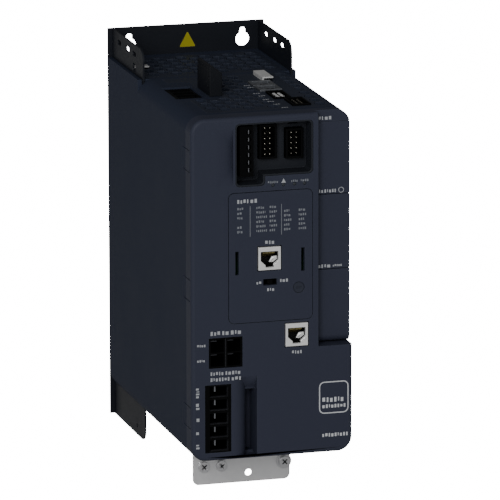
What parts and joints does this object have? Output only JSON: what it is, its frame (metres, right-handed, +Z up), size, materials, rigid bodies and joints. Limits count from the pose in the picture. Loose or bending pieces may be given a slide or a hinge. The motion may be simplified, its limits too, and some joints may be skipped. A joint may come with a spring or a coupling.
{
  "type": "servo drive",
  "caption": "Book-format servo drive in a dark plastic housing on a black back plate, with open power and control sockets, option covers and a bright ground plate.",
  "frame": {"origin": "centre of the back plate's rear face, where the drive meets the wall", "axes": "+X to the right seen from the front, +Y into the wall, +Z up; the front faces -Y"},
  "size_m": [0.11, 0.2138, 0.277],
  "materials": {
    "black_steel": "powder coat, fine texture",
    "housing_plastic": "fine spark texture",
    "cover_plastic": "fine spark texture",
    "tray_plastic": "matte",
    "connector_plastic": "matte",
    "yellow_film": "printed film",
    "jack_shield": "bright tin",
    "tin_steel": "rolled",
    "screw_steel": "zinc plated",
    "contact_metal": "plated",
    "pin_metal": "gold flash",
    "light_plastic": "frosted",
    "sink_aluminium": "extruded",
    "board_laminate": "solder resist",
    "module_plastic": "moulded",
    "capacitor_sleeve": "shrink sleeve",
    "choke_copper": "enamelled copper",
    "transformer_tape": "polyester tape",
    "sensor_plastic": "moulded",
    "fan_plastic": "moulded"
  },
  "bodies": {
    "drive": {"back_plate": "black_steel", "left_bracket": "black_steel", "right_bracket": "black_steel", "warning_triangle": "yellow_film", "housing": "housing_plastic", "earth_tab": "tin_steel", "rear_grille": "housing_plastic", "front_grille": "housing_plastic", "bottom_grille": "housing_plastic", "front_cover": "cover_plastic", "option_bay": "tray_plastic", "option_sockets": "connector_plastic", "control_tray": "tray_plastic", "status_lights": "light_plastic", "relay_terminal": "connector_plastic", "io_header": "connector_plastic", "io_pins": "pin_metal", "safety_header": "connector_plastic", "safety_pins": "pin_metal", "switch_body": "connector_plastic", "hmi_jack": "jack_shield", "service_jack": "jack_shield", "fieldbus_jacks": "jack_shield", "jack_inserts": "connector_plastic", "shield_clamp": "jack_shield", "encoder_header": "connector_plastic", "pulse_header": "connector_plastic", "mains_connector": "connector_plastic", "mains_guard": "tray_plastic", "dc_bus_connectors": "connector_plastic", "motor_connector": "connector_plastic", "power_contacts": "contact_metal", "ground_plate": "tin_steel", "ground_screws": "screw_steel", "ground_washer": "screw_steel", "heat_sink": "sink_aluminium", "power_module": "module_plastic", "power_board": "board_laminate", "dc_capacitors": "capacitor_sleeve", "filter_choke": "choke_copper", "transformer": "transformer_tape", "current_sensors": "sensor_plastic", "output_straps": "contact_metal", "output_board": "board_laminate", "input_board": "board_laminate", "fieldbus_board": "board_laminate", "board_carrier": "tray_plastic", "control_board": "board_laminate", "board_fasteners": "screw_steel", "left_fan_frame": "fan_plastic", "right_fan_frame": "fan_plastic"},
    "left_rotor": {"left_fan_rotor": "fan_plastic"},
    "right_rotor": {"right_fan_rotor": "fan_plastic"},
    "mode_knob": {"switch_slider": "connector_plastic"},
    "panel": {"lettering_panel": "cover_plastic"},
    "latch": {"panel_latch": "cover_plastic"},
    "cover_top": {"option_cover_top": "cover_plastic"},
    "cover_middle": {"option_cover_middle": "cover_plastic"},
    "cover_bottom": {"option_cover_bottom": "cover_plastic"}
  },
  "joints": [
    {"name": "left_fan_spin", "type": "hinge", "parent": "drive", "child": "left_rotor", "pos_m": [-0.021, -0.023, -0.105], "axis": [0, 0, 1], "continuous": true},
    {"name": "right_fan_spin", "type": "hinge", "parent": "drive", "child": "right_rotor", "pos_m": [0.021, -0.023, -0.105], "axis": [0, 0, 1], "continuous": true},
    {"name": "sink_source_slide", "type": "slide", "parent": "drive", "child": "mode_knob", "axis": [1, 0, 0], "range_m": [-0.0026, 0.0026]},
    {"name": "panel_pull", "type": "slide", "parent": "drive", "child": "panel", "axis": [0, -1, 0], "range_m": [0, 0.03]},
    {"name": "panel_latch_turn", "type": "hinge", "parent": "panel", "child": "latch", "pos_m": [0.018, -0.2125, -0.0013], "axis": [0, -1, 0], "range_deg": [0, 90]},
    {"name": "option_cover_top_pull", "type": "slide", "parent": "drive", "child": "cover_top", "axis": [0, -1, 0], "range_m": [0, 0.03]},
    {"name": "option_cover_middle_pull", "type": "slide", "parent": "drive", "child": "cover_middle", "axis": [0, -1, 0], "range_m": [0, 0.03]},
    {"name": "option_cover_bottom_pull", "type": "slide", "parent": "drive", "child": "cover_bottom", "axis": [0, -1, 0], "range_m": [0, 0.03]}
  ]
}
